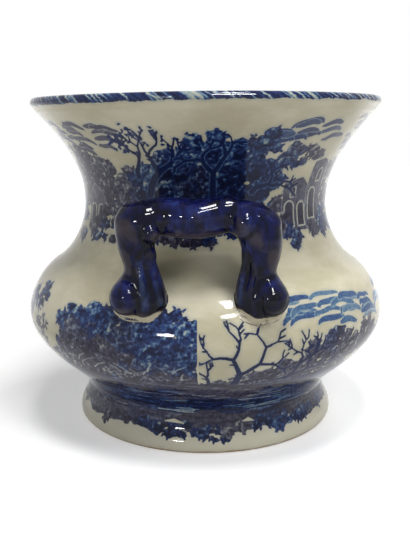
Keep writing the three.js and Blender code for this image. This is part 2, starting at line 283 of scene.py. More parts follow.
class Sheet:
    """Fields of the print. Cover is millimetres into the ink, tone runs from blue to slate, value from
    dark to pale, and grit is how speckled it is. Open columns are those that may be drawn on, and turn
    is the angle of the scene that is being drawn."""

    def __init__(self, outline):
        self.run = np.concatenate([[0], np.cumsum(np.linalg.norm(np.diff(outline, axis=0), axis=1))])
        self.radius, self.turn = outline[:, 0], 0
        self.climb = np.maximum.accumulate(outline[:, 1] + np.arange(len(outline)) * 1e-6)
        self.theta = (np.arange(COLUMNS) / COLUMNS * 2 - 1) * pi
        self.open = np.ones(COLUMNS, bool)
        self.fields = np.full((len(outline), COLUMNS, 4), PLAIN)
        self.cover, self.tone, self.value, self.grit = np.moveaxis(self.fields, -1, 0)
        across, up = outline[:, 0][:, None], outline[:, 1][:, None] + 0 * self.theta
        place = np.stack([across * np.sin(self.theta), across * np.cos(self.theta), up], -1)
        self.clump = noise(31, place / 5) + 0.7 * noise(32, place / 2.4)
        self.fine, self.drift = noise(33, place / 1.7), noise(35, place / 24)
        self.level = noise(34, place / (11, 11, 1.15))

    def up(self, z):
        return float(np.interp(z, self.climb, self.run))

    def spot(self, x, z):
        """A place on the sheet: its angle, and its distance up the outside line."""
        return self.turn + x / float(np.interp(z, self.climb, self.radius)), self.up(z)

    def window(self, place, x0, y0, x1, y1):
        """The rows and columns of a box about a place, and how far across and up each spot is."""
        angle, base = place
        rows = np.nonzero((self.run >= base + y0) & (self.run <= base + y1))[0]
        least = self.radius[rows].min(initial=RIM_RADIUS)
        first, last = ((angle + x / least + pi) / tau * COLUMNS for x in (min(x0, 0), max(x1, 0)))
        columns = np.arange(floor(first), min(ceil(last), floor(first) + COLUMNS - 1) + 1)
        theta = (columns / COLUMNS * 2 - 1) * pi
        x = (theta - angle)[None, :] * self.radius[rows][:, None]
        inside = ((x > x0) & (x < x1)).any(0) & self.open[columns % COLUMNS]
        y = (self.run[rows] - base)[:, None] + 0 * x
        return np.ix_(rows, columns[inside] % COLUMNS), x[:, inside], y[:, inside]

    def ink(self, at, depth, tone, value, grit, halo=0.0):
        """Ink where depth is above 0, with a pale line of this width round it."""
        if halo:
            pale = 0.8 * smooth(-halo - 0.5, -halo + 0.3, depth)
            self.value[at] = mix(self.value[at], 0.9, pale)
        on = smooth(-0.7, 0.1, depth)
        for values, new in ((self.tone, tone), (self.value, value), (self.grit, grit)):
            values[at] = mix(values[at], new, on)
        self.cover[at] = np.maximum(self.cover[at], depth)

    def along(self, place, points, widths, margin=1.2):
        """Where a line of these points and half widths lies, and how deep each spot is inside it."""
        points, widths = np.asarray(points, float), np.asarray(widths, float)
        reach = widths.max() + margin
        at, x, y = self.window(place, *(points.min(0) - reach), *(points.max(0) + reach))
        depth = np.full(x.shape, -9.0)
        for (x0, y0), (x1, y1), w0, w1 in zip(points, points[1:], widths, widths[1:]):
            share, gap = line_gap(x, y, x0, y0, x1, y1)
            depth = np.maximum(depth, mix(w0, w1, share) - gap)
        return at, depth

    def stroke(self, place, points, widths, tone, value, grit, halo=0.0):
        self.ink(*self.along(place, points, widths, 1.2 + halo), tone, value, grit, halo)

    def leaf(self, place, x, y, lean, length, widths, *ink):
        tip = (x + length * cos(lean), y + length * sin(lean))
        self.stroke(place, [(x, y), tip], widths, *ink)

    def lighten(self, place, points, widths, margin, value):
        """Paler ink beside and under a line, so that it stands out from what is behind it."""
        at, depth = self.along(place, points, widths, margin + 1)
        self.value[at] = mix(self.value[at], value, smooth(-margin - 0.5, -margin + 0.3, depth))


def foliage(sheet, rng, place, wide, tall, size, tone, light=0):
    """A leafy mass of round clumps, wide and tall each way from its middle. Each clump is lit from the
    upper left and lies over those behind it."""
    count = max(3, int(2.2 * wide * tall / size**2))
    k = np.arange(count) + 0.5
    turn, share = k * 2.4 + rng.uniform(0, 6.28), np.sqrt(k / count)
    spots = np.c_[wide * share * np.cos(turn), tall * share * np.sin(turn)]
    spots += rng.normal(0, size * 0.3, (count, 2))
    spots = spots[np.argsort(-spots[:, 1])]
    far = np.array([wide, tall]) + size * 1.4 + 3
    at, across, up = sheet.window(place, *-far, *far)
    if not across.size:
        return
    clump, fine = sheet.clump[at], sheet.fine[at]
    depth, value = np.full(across.shape, PLAIN[0]), np.full(across.shape, 0.3)
    for (cx, cy), radius in zip(spots, rng.uniform(0.7, 1.25, count) * size):
        dx, dy = across - cx, up - cy
        inside = radius - np.hypot(dx, dy * 1.2) + clump * 1.3
        lit = np.clip((0.9 * dy - 0.5 * dx) / radius, -1, 1)
        value = mix(value, 0.12 + 0.3 * smooth(-0.1, 0.9, lit), smooth(-0.5, 0.5, inside))
        depth = np.maximum(depth, inside)
    veins = smooth(0.24, 0.04, np.abs(clump)) * smooth(-0.4, 0.4, sheet.drift[at] + 0.6 * fine)
    value = value + light + 0.3 * veins + (0.16 + 0.8 * value) * fine + 0.16 * clump
    depth = depth + 0.4 * fine
    sheet.ink(at, depth, tone + 0.3 * sheet.drift[at], unit(value), 1.0)
    # Loose leaves round its edge.
    edge = np.argwhere((np.abs(depth + 0.4) < 0.5) & (depth < 0.2))
    leaves = int((wide + tall) * 0.8) if len(edge) else 0
    for row, column in edge[rng.integers(0, max(len(edge), 1), leaves)]:
        x, y = across[row, column], up[row, column]
        lean = atan2(y, x) + rng.normal(0, 0.8)
        sheet.leaf(place, x, y, lean, 1.3, (1.0, 0.6), tone, 0.25 + light, 0.6)


def limbs(rng, x, y, heading, length, width, level, spread):
    """Lines of a bare tree that forks again and again, each with its points and half widths."""
    points = [(x, y)]
    for _ in range(3):
        heading += rng.normal(0, 0.28)
        x += sin(heading) * length / 3
        y += cos(heading) * length / 3
        points.append((x, y))
        if rng.uniform() < 0.22:
            side = heading + rng.choice([-1, 1]) * rng.uniform(0.6, 1.1)
            twig = rng.uniform(2.4, 4.5)
            yield [(x, y), (x + twig * sin(side), y + twig * cos(side))], [0.7, 0.55]
    yield points, np.linspace(width, max(width * 0.74, 0.55), 4)
    for side in (-1, 1) if level else ():
        turn = heading * 0.85 + side * rng.uniform(0.35, 0.95) * spread
        reach = length * rng.uniform(0.68, 0.92)
        yield from limbs(rng, x, y, turn, reach, max(width * 0.66, 0.55), level - 1, spread)


def tree(sheet, rng, place, lean, length, width, level, tone, leaves=0, spread=0.7):
    lines = list(limbs(rng, 0, 0, lean, length, width, level, spread))
    for points, widths in lines:
        sheet.lighten(place, points, widths, 0.8, 0.62)
    for points, widths in lines:
        sheet.stroke(place, points, widths, tone, 0.14, 0.2)
        for _ in range(leaves if widths[0] < 0.9 else 0):
            x, y = np.array(points[-1]) + rng.normal(0, 1.8, 2)
            sheet.leaf(place, x, y, rng.uniform(0, 6.28), 1.5, (0.95, 0.6), tone, 0.25, 0.4)


def plume(sheet, rng, place, length, rows, tone, value, lean):
    """Far foliage, drawn as long crescents that lie over one another."""
    for k in range(rows):
        for side in rng.uniform(-0.6, 0.6, rng.integers(1, 3)) * length:
            cy = k * 5.2 + rng.uniform(-1, 1)
            reach, sag = length * rng.uniform(0.55, 1.0), rng.uniform(0.22, 0.42)
            turn = np.linspace(-1.35, 1.25, 11)
            ripple = 0.5 * np.sin(turn * rng.uniform(3, 5) + rng.uniform(0, 6))
            ys = cy + reach * (sag * np.cos(turn) + lean * np.sin(turn)) + ripple
            points = np.c_[side + reach * np.sin(turn), ys]
            widths = 0.5 + rng.uniform(1.1, 1.9) * np.sin(np.linspace(0.1, 3.0, 11)) ** 0.8
            sheet.stroke(place, points, widths, tone, value + rng.uniform(-0.14, 0.06), 0.35, 0.9)


def wall(sheet, place, corners, tone, value):
    """A flat wall or roof with straight sides, its corners given anticlockwise, with hatching over it."""
    corners = np.array(corners, float)
    at, x, y = sheet.window(place, *(corners.min(0) - 3), *(corners.max(0) + 3))
    depth = np.full(x.shape, 9.0)
    for (ax, ay), (bx, by) in zip(corners, np.roll(corners, -1, axis=0)):
        side = hypot(bx - ax, by - ay)
        depth = np.minimum(depth, ((bx - ax) * (y - ay) - (by - ay) * (x - ax)) / side)
    hatching = 0.09 * np.sin((x * 0.6 + y) * tau / 2.1)
    value = value + hatching + 0.16 * sheet.fine[at] + 0.1 * sheet.clump[at]
    sheet.ink(at, depth + 0.25 * sheet.clump[at], tone, unit(value), 0.5, 0.9)


def opening(sheet, place, y, width, height):
    """An arched opening, dark inside, in a pale frame."""
    at, across, up = sheet.window(place, -width, y - 3, width, y + height + 4)
    top = y + height - width / 2
    aside = np.where(up > top, np.hypot(across, up - top), np.abs(across))
    depth = np.minimum(width / 2 - aside, up - y)
    framed = mix(sheet.value[at], 0.95, smooth(-1.7, -1.1, depth))
    sheet.value[at] = mix(framed, 0.12, smooth(-0.4, 0.2, depth))


def ground(sheet, rng, low, high, rise, tone, value, ragged, strength):
    """A band of ground or water all round, between two uneven heights, broken into level lines."""
    lower, upper = (np.full(COLUMNS, sheet.up(z)) for z in (low, high))
    for wave in (4, 7, 12, 19):
        for side in (lower, upper):
            side += rise * 0.4 * np.sin(sheet.theta * wave + rng.uniform(0, 6.28))
    rows = np.nonzero((sheet.run > lower.min() - 5) & (sheet.run < upper.max() + 5))[0]
    at = np.ix_(rows, np.nonzero(sheet.open)[0])
    y = sheet.run[rows][:, None]
    depth = np.clip(np.minimum(y - lower[sheet.open], upper[sheet.open] - y), -4, 4)
    value = value + strength * sheet.level[at] + 0.2 * sheet.fine[at]
    tone = tone + 0.3 * sheet.drift[at]
    sheet.ink(at, depth + ragged * sheet.clump[at], tone, unit(value), 0.6)


def woods(sheet, rng, rows):
    """Leafy masses, each row: x, height, half width, half height, clump size, tone and any light."""
    for x, z, *mass in rows:
        foliage(sheet, rng, sheet.spot(x, z), *mass)


NECK_WOODS = (
    (12, 190, 40, 18, 9, 0.2, -0.1), (-96, 184, 34, 12, 9, 0.8, -0.06), (-30, 172, 30, 12, 9, 0.3, -0.1),
    (-100, 200, 16, 9, 5, 0.9, 0.02), (-126, 180, 13, 17, 5, 0.9), (-100, 184, 12, 14, 5, 0.9, 0.03),
    (-74, 190, 11, 13, 5, 0.9), (-54, 182, 13, 14, 5, 0.7, 0.04), (112, 184, 10, 16, 5, 0.8),
    (138, 176, 13, 14, 5, 0.8), (84, 204, 8, 8, 4.5, 0.7, 0.08), (64, 204, 10, 8, 4.5, 0.4, 0.06),
    (40, 212, 13, 8, 5, 0.15, 0.05), (10, 210, 17, 9, 6, 0, 0.04), (26, 200, 20, 11, 6, 0.1),
    (-12, 198, 15, 10, 6, 0.15, 0.02), (-34, 188, 14, 8, 5.5, 0.2, 0.02), (46, 190, 12, 8, 5, 0.2),
    (12, 188, 34, 9, 5.5, 0.2, -0.08), (-22, 176, 26, 8, 5, 0.3, -0.08), (26, 174, 26, 8, 5, 0.2, -0.08),
    (62, 172, 12, 8, 5, 0.85),
)
NECK_BUSHES = (
    (-62, 164, 12, 7, 4.8, 0.8), (-116, 162, 12, 7, 4.8, 0.1), (50, 160, 12, 7, 4.8, 0.8),
    (112, 158, 12, 7, 4.8, 0.1), (136, 158, 12, 7, 4.8, 0.8), (4, 161, 28, 7, 4.8, 0.1, -0.02),
)
BELLY_WOODS_LEFT = (
    (-56, 82, 50, 20, 9, 0.4, -0.08), (-52, 62, 54, 12, 8, 0.9, -0.04), (-94, 99, 13, 7, 6, 0, 0.1),
    (-76, 104, 13, 6, 6, 0, 0.14), (-50, 100, 18, 8, 6, 0.1, 0.04), (-22, 104, 16, 7, 5, 0, 0.08),
    (-8, 95, 14, 8, 5, 0, 0.06), (-84, 86, 20, 8, 5.5, 0.5, -0.06), (-46, 88, 26, 8, 6, 0.2),
    (-14, 84, 20, 8, 5, 0, 0.03), (-70, 75, 30, 8, 5.5, 0.95, -0.04), (-24, 72, 28, 7, 5, 0.3, 0.03),
    (-34, 63, 32, 6, 5.5, 0.95, -0.02), (-60, 54, 30, 6, 5, 0.3), (-18, 52, 24, 6, 5, 0.9, -0.04),
    (-112, 56, 28, 6, 4.5, 0.8), (-150, 56, 24, 6, 4.5, 0.6), (-186, 62, 20, 7, 4.5, 0.6),
    (-106, 68, 12, 7, 4.5, 0.6, 0.08), (-134, 106, 9, 7, 4, 0.2, 0.06), (-160, 98, 12, 9, 4, 0.3, 0.05),
    (-192, 96, 12, 8, 4, 0.4, 0.05),
)
BELLY_WOODS_RIGHT = (
    (60, 68, 13, 7, 4.5, 0.85), (82, 76, 14, 9, 5, 0.85), (100, 84, 10, 8, 5, 0.5), (76, 64, 26, 8, 5, 0.9),
    (116, 74, 18, 11, 5, 0.85), (140, 80, 14, 12, 5, 0.85), (166, 74, 15, 10, 5, 0.85),
    (192, 80, 15, 13, 5, 0.7), (18, 57, 18, 4, 4.5, 0.9, 0.04), (44, 62, 20, 9, 4.5, 0.95),
    (26, 54, 34, 9, 4.5, 0.9, -0.04), (92, 56, 40, 7, 5, 0.95, 0.03), (150, 56, 40, 8, 5, 0.85, 0.05),
)
# Far plumes, each row: x, height, rows, tone (on the neck only) and lean.
NECK_PLUMES = (
    (-64, 208, 4, 0.8, -0.16), (-88, 204, 5, 0.8, -0.2), (-112, 210, 4, 0.5, -0.2), (-140, 206, 6, 0.8, -0.1),
    (98, 214, 3, 0.5, 0.15), (76, 214, 3, 0.4, 0.2), (54, 212, 2, 0.3, 0.2), (126, 206, 6, 0.8, -0.1),
)
BELLY_PLUMES = ((66, 100, 3, 0.1), (92, 97, 4, 0), (120, 94, 4, -0.12), (148, 90, 4, -0.1), (176, 96, 3, 0.1))
# Bare trees, each row: x, height, lean, length, width and leaves, or on the belly x, height, seed,
# lean, length, width and forks.
NECK_TREES = (
    (-34, 178, -0.5, 18, 2.2, 2), (-42, 190, -0.1, 13, 1.5, 2), (8, 178, 0.1, 16, 1.9, 0),
    (34, 180, 0.3, 13, 1.6, 0), (116, 164, 0.2, 18, 1.8, 2), (-108, 166, 0.1, 15, 1.5, 1),
)
BELLY_TREES = ((22, 55, 11, -0.1, 18, 2.6, 4), (46, 56, 20, 0.75, 15, 2.2, 4), (7, 60, 19, -0.15, 9, 1.3, 2))
# A ruined tower and its arcade on the right of the neck, and a gable end on its left. Walls have their x,
# corners, tone and value, and openings their x, height over the foot of the wall, width and height.
WALL_FOOT = 152
NECK_WALLS = (
    (72, [(-12, 0), (12, 0), (12, 31), (4, 37), (-12, 34)], 0.95, 0.36),
    (94, [(-10, 0), (10, 0), (10, 46), (2, 51), (-10, 48)], 0.8, 0.42),
    (-88, [(-12, 0), (12, 0), (12, 20), (0, 31), (-12, 22)], 0.9, 0.42),
)
NECK_OPENINGS = (
    (66, 4, 7, 16), (78, 4, 6, 15), (69, 24, 3.4, 6), (91, 8, 7, 20), (96, 34, 4.4, 8), (-94, 3, 5.5, 13),
    (-83, 4, 5.5, 12),
)
BAND_SLANT = 13


def draw_neck(sheet, rng):
    for x, z, rows, tone, lean in NECK_PLUMES:
        plume(sheet, rng, sheet.spot(x, z), 13, rows, tone, 0.42, lean)
    woods(sheet, rng, NECK_WOODS)
    for x, corners, tone, value in NECK_WALLS:
        wall(sheet, sheet.spot(x, WALL_FOOT), corners, tone, value)
    for x, *sizes in NECK_OPENINGS:
        opening(sheet, sheet.spot(x, WALL_FOOT), *sizes)
    for x, z, lean, length, width, leaves in NECK_TREES:
        tree(sheet, rng, sheet.spot(x, z), lean, length, width, 3, 0.2, leaves)
    for x in np.arange(-150, 150, 10):
        place = sheet.spot(x, 151 + rng.uniform(-4, 5))
        if rng.uniform() < 0.88:
            foliage(sheet, rng, place, 7, rng.uniform(2.5, 5), 4.2, rng.choice([0.1, 0.3, 0.75]), -0.03)
    woods(sheet, rng, NECK_BUSHES)


def draw_belly(sheet, rng):
    relative = (sheet.theta - sheet.turn + pi) % tau - pi
    # Left of the seam: a thick wood over a bank, with pale twigs and grasses in it.
    sheet.open = relative < 0
    tree(sheet, rng, sheet.spot(-122, 60), 0.1, 12, 1.3, 3, 0.6, 2)
    woods(sheet, rng, BELLY_WOODS_LEFT)
    for _ in range(90):
        lean, reach = rng.normal(0.3, 0.8), rng.uniform(2, 8)
        place = sheet.spot(rng.uniform(-130, -4), rng.uniform(40, 70))
        bow = [(0, 0), (reach * 0.5 * lean, reach * 0.6), (reach * 1.2 * lean, reach)]
        sheet.lighten(place, bow, [0.5, 0.4, 0.3], 0, rng.uniform(0.6, 1.0))
    # Right of the seam: bare trees against a clear sky, plumes, and woods far off.
    sheet.open = relative > 0
    for x, z, rows, lean in BELLY_PLUMES:
        plume(sheet, rng, sheet.spot(x, z), 15.5, rows, 0, 0.6, lean)
    woods(sheet, rng, BELLY_WOODS_RIGHT)
    for x, z, seed, *size in BELLY_TREES:
        tree(sheet, np.random.default_rng(seed), sheet.spot(x, z), *size, 0.25, 0, 0.72)
    sheet.open[:] = True


def draw_foot(sheet, rng):
    ground(sheet, rng, 22, 60, 1.6, 0.55, 0.22, 0.6, 0.36)
    ground(sheet, rng, 26, 42, 1.0, 0.0, 0.16, 0.3, 0.36)
    ground(sheet, rng, 14, 28, 2.0, 0.6, 0.27, 0.8, 0.3)
    # Bushes along the shore.
    for angle in np.linspace(-pi, pi, 40, endpoint=False):
        z = rng.uniform(11, 16) + 7 * abs(sin(angle)) ** 1.5
        tone = rng.choice([0.0, 0.1, 0.7])
        if rng.uniform() < 0.9:
            place = (angle + rng.normal(0, 0.03), sheet.up(z))
            foliage(sheet, rng, place, 8, 2.8, 4, tone, rng.choice([-0.04, 0.0, 0.16]))
    # Pale level ripples, and bare islets between them.
    for angle in rng.uniform(-pi, pi, 110):
        x = np.linspace(0, rng.uniform(7, 28), 6)
        points = np.c_[x, np.cumsum(rng.normal(0, 0.4, 6))]
        place = (angle, sheet.up(rng.uniform(24, 50)))
        widths = np.full(6, rng.uniform(0.3, 0.6))
        sheet.lighten(place, points, widths, 0, rng.uniform(0.6, 1.0))
    for angle in rng.uniform(-pi, pi, 9):
        x = rng.uniform(4, 9)
        place = (angle, sheet.up(rng.uniform(17, 22)))
        at, depth = sheet.along(place, [(-x, 0), (0, 0.8), (x, -0.5)], [0.4, 1.5, 0.4])
        sheet.cover[at] = np.minimum(sheet.cover[at], -depth)


def draw_band(sheet, rows):
    """The blue band round the lip, broken by many bare slanting strokes."""
    rng = np.random.default_rng(7)
    across = np.linspace(0, 1, len(rows))[:, None]
    at = np.ix_(rows, np.arange(COLUMNS))
    theta = sheet.theta + 0 * across
    edge = 0.35 * np.sin(theta * 23 + 1) + 0.25 * np.sin(theta * 57) + 0.6 * sheet.fine[at]
    lower = 0.24 + 0.1 * np.sin(theta)
    sheet.cover[at] = np.minimum((across - lower) * 14 + edge, (1.06 - across) * 10)
    slanting = theta * RIM_RADIUS + BAND_SLANT * across

    def marks(seed, width, height):
        return noise(seed, np.stack([slanting / width, height * across + 0 * theta, 0 * theta], -1))

    blot, fleck = marks(41, 5.0, 0.8), marks(42, 1.7, 2.2)
    pale = smooth(0.12, 0.62, blot + 0.45 * fleck + 0.5 * (across - 0.45) + 0.25 * marks(43, 24, 0))
    value = 0.18 + 0.16 * marks(44, 3.4, 1.6) + 0.14 * fleck
    sheet.value[at] = unit(mix(value, 0.8 + 0.2 * fleck, pale))
    sheet.tone[at] = 0.15 + 0.4 * sheet.drift[at]
    sheet.grit[at] = 0.5
    start = 0.0
    while start < tau:
        half, reach = rng.uniform(0.4, 1.2), rng.uniform(0.5, 1.1)
        gap = (theta - start + 3) % tau - 3
        aside = np.abs(gap * RIM_RADIUS + BAND_SLANT * (across - 0.5) + sheet.fine[at])
        depth = np.minimum(half * mix(0.4, 1.2, across) - aside, (across - (1 - reach)) * 8)
        sheet.value[at] = mix(sheet.value[at], 0.97, smooth(-0.5, 0.4, depth))
        start += rng.choice([0.035, 0.06, 0.12]) * rng.uniform(0.8, 1.3)


line, ways = outside_line(PRINT_SPACING)
line = line + ways * RIDGE_STAND * np.exp(-(((line[:, 1] - RIDGE_HEIGHT) / RIDGE_WIDTH) ** 2))[:, None]
round_centre = lip_centre + (LIP_RADIUS - LIP_ROUND) * rim_way
lip_front = arc(round_centre, LIP_ROUND, -RIM_LEAN, LIP_FACE, 6)
face = LIP_FLAT * np.array([-1, 1]) * leaning(LIP_FACE)
lip_top = arc(round_centre, LIP_ROUND, LIP_FACE, 180 - RIM_LEAN, 12) + face
lip = np.concatenate([lip_front, [lip_front[-1] + face / 3, lip_front[-1] + face * 2 / 3], lip_top])

foot_inside, recess_edge = FOOT_RADIUS - FOOT_WALL, WAIST_RADIUS - FOOT_WALL
foot_corner = arc((FOOT_RADIUS - FOOT_EDGE, FOOT_EDGE), FOOT_EDGE, -90, 0, 6)
recess_side = (mix(recess_edge, foot_inside, RECESS_FILLET / RECESS_DEPTH), RECESS_DEPTH - RECESS_FILLET)
recess_bend = bend((recess_edge - RECESS_FILLET, RECESS_DEPTH), (recess_edge, RECESS_DEPTH), recess_side, 8)
foot_bend = bend((foot_inside - 0.2, 2.2), (foot_inside, 0), (foot_inside + 1.8, 0), 5)
underside = np.concatenate([recess_bend, foot_bend])

inner, inner_ways = outside_line(5)
share = unit((inner[:, 1] - THICKENS_AT) / THICKENS_OVER)[:, None] ** 2
inner = (inner - inner_ways * mix(WALL, LIP_WALL, share))[::-1]
inner = inner[(inner[:, 1] > FLOOR_TOP + FLOOR_FILLET) & (inner[:, 1] < lip[-1][1] - 1)]
floor_bend = bend(inner[-1], (inner[-1][0], FLOOR_TOP), (inner[-1][0] - FLOOR_FILLET, FLOOR_TOP), 8)
profile = np.concatenate([underside, foot_corner[:-1], line, lip[1:], inner, floor_bend[1:]])
outer_start = len(underside)
lip_start = outer_start + len(foot_corner) - 1 + len(line)
outer_end = lip_start + len(lip) - 1

sheet = Sheet(profile[outer_start:outer_end])
for turn, seed in ((0, 11), (pi, 23)):
    sheet.turn, rng = turn, np.random.default_rng(seed)
    draw_neck(sheet, rng)
    draw_belly(sheet, rng)
draw_foot(sheet, np.random.default_rng(5))
draw_band(sheet, np.arange(lip_start - outer_start - 6, len(sheet.run) - 1))


def build_body():
    theta, z = sheet.theta, profile[:, 1][:, None]
    z = z - RIM_SAG * smooth(0.35, -1, np.sin(theta)) * smooth(205, 240, z)
    flat = RIM_FLAT * np.exp(-(((theta - FLAT_ANGLE) / FLAT_WIDTH) ** 2))
    r = profile[:, 0][:, None] - flat * smooth(230, 240, z)
    ring = np.stack([r * np.sin(theta), -r * np.cos(theta), z], -1).reshape(-1, 3)
    points = np.concatenate([ring, [[0, 0, RECESS_DEPTH], [0, 0, FLOOR_TOP]]])
    number = np.arange(len(ring)).reshape(-1, COLUMNS)
    after = np.roll(number, -1, axis=1)
    quads = np.stack([number[:-1], after[:-1], after[1:], number[1:]], -1).reshape(-1, 4)
    under = np.stack([np.full(COLUMNS, len(ring)), after[0], number[0]], -1)
    top = np.stack([np.full(COLUMNS, len(ring) + 1), number[-1], after[-1]], -1)
    fields = np.full((*number.shape, 4), (PLAIN[0], 0, 0, 0))
    fields[outer_start:outer_end] = sheet.fields
    fields = np.concatenate([fields.reshape(-1, 4), [PLAIN] * 2])
    return make_mesh("body_shell", points, [quads, under, top], {"print": fields})


body = build_body()


# Handles and slip. Both are shapes in a grid of distances, blended softly where clay was worked into
# clay. x runs across, out is the distance from the axis towards the front, and z is the height.
CELL = 0.66
GRID_LOW, GRID_HIGH = np.array([-64, 88, 92]), np.array([64, 141, 188])
BAR_OUT, BAR_Z, FOOT_Z, FOOT_X, FOOT_STAND = 120.4, 166.5, 117.4, 37.8, 4.6
# How deep the shapes go into the body, and how deep under its face the handle's blend runs out.
SUNK, RUN_OUT = 0.35, 0.55
grid_axes = [np.arange(low, high, CELL) for low, high in zip(GRID_LOW, GRID_HIGH)]
grid_points = np.stack(np.meshgrid(*grid_axes, indexing="ij"), -1)
grid_shape = grid_points.shape[:3]
surface, surface_ways = outside_line(0.7)


def melt(first, second, reach):
    """The union of two distance fields, rounded over reach where they meet."""
    share = unit(0.5 + 0.5 * (second - first) / reach)
    return mix(second, first, share) - reach * share * (1 - share)


def tube(points, radii, flat=1.0):
    """A tube along points. Flat makes its depth smaller than its width by that factor."""
    depth = np.full(grid_shape, 9.0)
    for a, b, ra, rb in zip(points, points[1:], radii, radii[1:]):
        reach = max(ra, rb) + 7
        low = ((np.minimum(a, b) - reach - GRID_LOW) / CELL).astype(int)
        high = ((np.maximum(a, b) + reach - GRID_LOW) / CELL).astype(int) + 2
        part = tuple(slice(max(0, first), max(0, last)) for first, last in zip(low, high))
        x, out, z = np.ix_(*(axis[span] for axis, span in zip(grid_axes, part)))
        run = (b - a) * (1, flat, 1)
        away = (x - a[0], (out - a[1]) * flat, z - a[2])
        share = unit(sum(d * r for d, r in zip(away, run)) / max(run @ run, 1e-6))
        gap = np.sqrt(sum((d - r * share) ** 2 for d, r in zip(away, run)))
        depth[part] = np.minimum(depth[part], gap - mix(ra, rb, share))
    return depth


def soft_line(spots):
    """Points and radii along a smooth line through spots, each (x, out, z, radius)."""
    spots = np.array(spots, float)
    spots = np.concatenate([[2 * spots[0] - spots[1]], spots, [2 * spots[-1] - spots[-2]]])
    t = np.linspace(0, 1, 10, endpoint=False)[:, None]
    rows = []
    for p0, p1, p2, p3 in zip(spots, spots[1:], spots[2:], spots[3:]):
        bend_terms = (2 * p0 - 5 * p1 + 4 * p2 - p3) * t**2 + (3 * p1 - p0 - 3 * p2 + p3) * t**3
        rows.append(p1 + 0.5 * ((p2 - p0) * t + bend_terms))
    rows = np.concatenate([*rows, spots[-2][None]])
    return rows[:, :3], rows[:, 3]


def grid_sample(field, points):
    return sample(field, (points - GRID_LOW) / CELL)


def surface_net(field):
    """Points and quads of the zero surface of a distance field on the grid."""
    inside = field < 0
    cells = tuple(n - 1 for n in grid_shape)
    spans = [tuple(slice(c, c + n) for c, n in zip(corner, cells)) for corner in CORNERS]
    near = sum(inside[span] * 1 for span in spans)
    cell = np.argwhere((near > 0) & (near < 8))
    values = np.stack([field[tuple((cell + corner).T)] for corner in CORNERS], 1)
    total, hits = np.zeros((len(cell), 3)), np.zeros(len(cell))
    for a, b in [(n, n | k) for n in range(8) for k in (1, 2, 4) if not n & k]:
        first, second = values[:, a], values[:, b]
        cross = (first < 0) != (second < 0)
        share = np.where(cross, first / np.where(cross, first - second, 1), 0)
        total += cross[:, None] * (CORNERS[a] + share[:, None] * (CORNERS[b] - CORNERS[a]))
        hits += cross
    points = GRID_LOW + (cell + total / hits[:, None]) * CELL
    number = np.full(cells, -1)
    number[tuple(cell.T)] = np.arange(len(cell))
    quads = []
    for k in range(3):
        edge = np.argwhere(np.diff(inside, axis=k))
        around = np.roll([(0, -1, -1), (0, 0, -1), (0, 0, 0), (0, -1, 0)], k, axis=1)
        ring = np.stack([number[tuple((edge + step).T)] for step in around], 1)
        turned = ~inside[tuple(edge.T)]
        ring[turned] = ring[turned][:, ::-1]
        quads.append(ring)
    slope = np.gradient(field, CELL)
    for _ in range(4):
        way = np.stack([grid_sample(part, points) for part in slope], 1)
        step = np.clip(grid_sample(field, points), -0.4, 0.4)[:, None] * way
        points = points - step / np.maximum((way**2).sum(1), 0.3)[:, None]
    return points, np.concatenate(quads)


def body_gap():
    """About the distance outside the body, over the grid."""
    x, out, z = np.moveaxis(grid_points, -1, 0)
    lean = np.interp(z, surface[:, 1], surface_ways[:, 0])
    return (np.hypot(x, out) - np.interp(z, surface[:, 1], surface[:, 0])) * lean


def blur(field, passes):
    for k in range(3):
        for _ in range(passes):
            field = (np.roll(field, 1, k) + 2 * field + np.roll(field, -1, k)) / 4
    return field


# The handle, in rows of x, height, how far it stands out from the slanting plane, and radius.
BAR = (
    (-41, 162.4, 1, 10.6), (-38, 164, 2.2, 12), (-34, 165.6, 2.4, 12.2), (-29.6, 166.8, 0.6, 11.9),
    (-25, 167.8, 0.2, 11.6), (-18, 167.9, 0.3, 11.8), (-10, 167.3, 0.3, 12.4), (0, 166.6, 0.2, 12.3),
    (9, 167.8, -1.4, 11.9), (17, 168.9, -2.8, 11), (22, 168.4, -1, 10.6), (27, 167.2, 0.4, 11.4),
    (32, 165.4, 0.2, 11.8), (37.5, 162, -0.8, 12.4),
)
